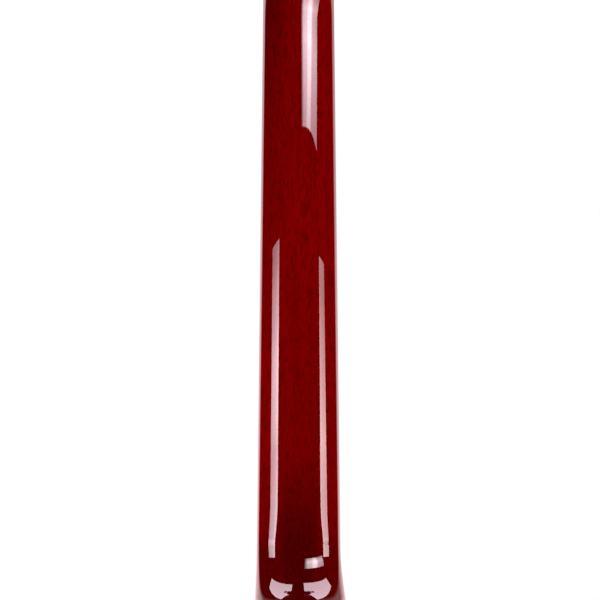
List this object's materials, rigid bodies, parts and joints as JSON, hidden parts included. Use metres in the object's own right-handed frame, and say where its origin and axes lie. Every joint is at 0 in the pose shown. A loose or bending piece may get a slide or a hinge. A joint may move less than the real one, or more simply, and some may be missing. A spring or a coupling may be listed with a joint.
{
  "type": "electric guitar neck",
  "caption": "Set neck of an electric guitar: glossy cherry-red mahogany back, carved heel and tenon, bound rosewood fingerboard, angled headstock with open-gear tuners.",
  "frame": {"origin": "on the neck's centreline, where the fingerboard's glue plane meets the heel's shoulder", "axes": "+Z along the neck to the headstock, -Y out of the rounded back that the palm holds, +Y out of the fretted face, +X to the bass side"},
  "size_m": [0.121, 0.0654, 0.6355],
  "materials": {
    "cherry_mahogany": "transparent cherry red under clear gloss lacquer",
    "black_veneer": "gloss lacquer",
    "rosewood": "oiled, satin",
    "cream_binding": "gloss",
    "nickel_silver": "polished",
    "pearl": "pearl",
    "black_dots": "gloss",
    "bone": "polished",
    "steel": "plain",
    "maple": "raw",
    "brass": "machined",
    "black_plastic": "gloss, with a bevelled edge",
    "nickel_plate": "polished",
    "cream_buttons": "gloss"
  },
  "bodies": {
    "neck": {"tuner_plate_low_e": "nickel_plate", "tuner_plate_a": "nickel_plate", "tuner_plate_d": "nickel_plate", "tuner_plate_g": "nickel_plate", "tuner_plate_b": "nickel_plate", "tuner_plate_high_e": "nickel_plate", "tuner_plate_screws": "nickel_plate", "tuner_bushings": "nickel_plate", "truss_rod": "steel", "truss_rod_anchor": "steel", "truss_rod_filler": "maple", "truss_rod_washer": "steel", "truss_rod_cover": "black_plastic", "truss_cover_screws": "steel", "headstock_wing_bass": "cherry_mahogany", "headstock_wing_treble": "cherry_mahogany", "neck_shaft": "cherry_mahogany", "headstock_veneer": "black_veneer", "frets": "nickel_silver", "fingerboard": "rosewood", "fret_markers": "pearl", "binding_treble": "cream_binding", "binding_end": "cream_binding", "binding_bass": "cream_binding", "side_markers": "black_dots", "nut": "bone"},
    "key_low_e": {"worm_shaft_low_e": "nickel_plate", "key_button_low_e": "cream_buttons"},
    "post_low_e": {"string_post_low_e": "nickel_plate", "worm_wheel_low_e": "brass", "wheel_screw_low_e": "nickel_plate"},
    "key_a": {"worm_shaft_a": "nickel_plate", "key_button_a": "cream_buttons"},
    "post_a": {"string_post_a": "nickel_plate", "worm_wheel_a": "brass", "wheel_screw_a": "nickel_plate"},
    "key_d": {"worm_shaft_d": "nickel_plate", "key_button_d": "cream_buttons"},
    "post_d": {"string_post_d": "nickel_plate", "worm_wheel_d": "brass", "wheel_screw_d": "nickel_plate"},
    "key_g": {"worm_shaft_g": "nickel_plate", "key_button_g": "cream_buttons"},
    "post_g": {"string_post_g": "nickel_plate", "worm_wheel_g": "brass", "wheel_screw_g": "nickel_plate"},
    "key_b": {"worm_shaft_b": "nickel_plate", "key_button_b": "cream_buttons"},
    "post_b": {"string_post_b": "nickel_plate", "worm_wheel_b": "brass", "wheel_screw_b": "nickel_plate"},
    "key_high_e": {"worm_shaft_high_e": "nickel_plate", "key_button_high_e": "cream_buttons"},
    "post_high_e": {"string_post_high_e": "nickel_plate", "worm_wheel_high_e": "brass", "wheel_screw_high_e": "nickel_plate"},
    "rod_nut": {"truss_rod_nut": "brass"}
  },
  "joints": [
    {"name": "key_turn_low_e", "type": "hinge", "parent": "neck", "child": "key_low_e", "pos_m": [0.02372, -0.03068, 0.42249], "axis": [1, 0, 0], "continuous": true},
    {"name": "post_turn_low_e", "type": "hinge", "parent": "neck", "child": "post_low_e", "pos_m": [0.02372, -0.02786, 0.43185], "axis": [0, -0.9703, -0.2419], "continuous": true},
    {"name": "key_turn_a", "type": "hinge", "parent": "neck", "child": "key_a", "pos_m": [0.02469, -0.04036, 0.4613], "axis": [1, 0, 0], "continuous": true},
    {"name": "post_turn_a", "type": "hinge", "parent": "neck", "child": "post_a", "pos_m": [0.02469, -0.03754, 0.47066], "axis": [0, -0.9703, -0.2419], "continuous": true},
    {"name": "key_turn_d", "type": "hinge", "parent": "neck", "child": "key_d", "pos_m": [0.02567, -0.05004, 0.50012], "axis": [1, 0, 0], "continuous": true},
    {"name": "post_turn_d", "type": "hinge", "parent": "neck", "child": "post_d", "pos_m": [0.02567, -0.04722, 0.50947], "axis": [0, -0.9703, -0.2419], "continuous": true},
    {"name": "key_turn_g", "type": "hinge", "parent": "neck", "child": "key_g", "pos_m": [-0.02567, -0.05004, 0.50012], "axis": [-1, 0, 0], "continuous": true},
    {"name": "post_turn_g", "type": "hinge", "parent": "neck", "child": "post_g", "pos_m": [-0.02567, -0.04722, 0.50947], "axis": [0, -0.9703, -0.2419], "continuous": true},
    {"name": "key_turn_b", "type": "hinge", "parent": "neck", "child": "key_b", "pos_m": [-0.02469, -0.04036, 0.4613], "axis": [-1, 0, 0], "continuous": true},
    {"name": "post_turn_b", "type": "hinge", "parent": "neck", "child": "post_b", "pos_m": [-0.02469, -0.03754, 0.47066], "axis": [0, -0.9703, -0.2419], "continuous": true},
    {"name": "key_turn_high_e", "type": "hinge", "parent": "neck", "child": "key_high_e", "pos_m": [-0.02372, -0.03068, 0.42249], "axis": [-1, 0, 0], "continuous": true},
    {"name": "post_turn_high_e", "type": "hinge", "parent": "neck", "child": "post_high_e", "pos_m": [-0.02372, -0.02786, 0.43185], "axis": [0, -0.9703, -0.2419], "continuous": true},
    {"name": "rod_nut_turn", "type": "hinge", "parent": "neck", "child": "rod_nut", "pos_m": [0, -0.009, 0.39243], "axis": [0, 0, 1], "range_deg": [-180, 360]}
  ],
  "couplings": [
    {"joint": "post_turn_low_e", "follows": "key_turn_low_e", "ratio": -0.071429},
    {"joint": "post_turn_a", "follows": "key_turn_a", "ratio": -0.071429},
    {"joint": "post_turn_d", "follows": "key_turn_d", "ratio": -0.071429},
    {"joint": "post_turn_g", "follows": "key_turn_g", "ratio": 0.071429},
    {"joint": "post_turn_b", "follows": "key_turn_b", "ratio": 0.071429},
    {"joint": "post_turn_high_e", "follows": "key_turn_high_e", "ratio": 0.071429}
  ]
}
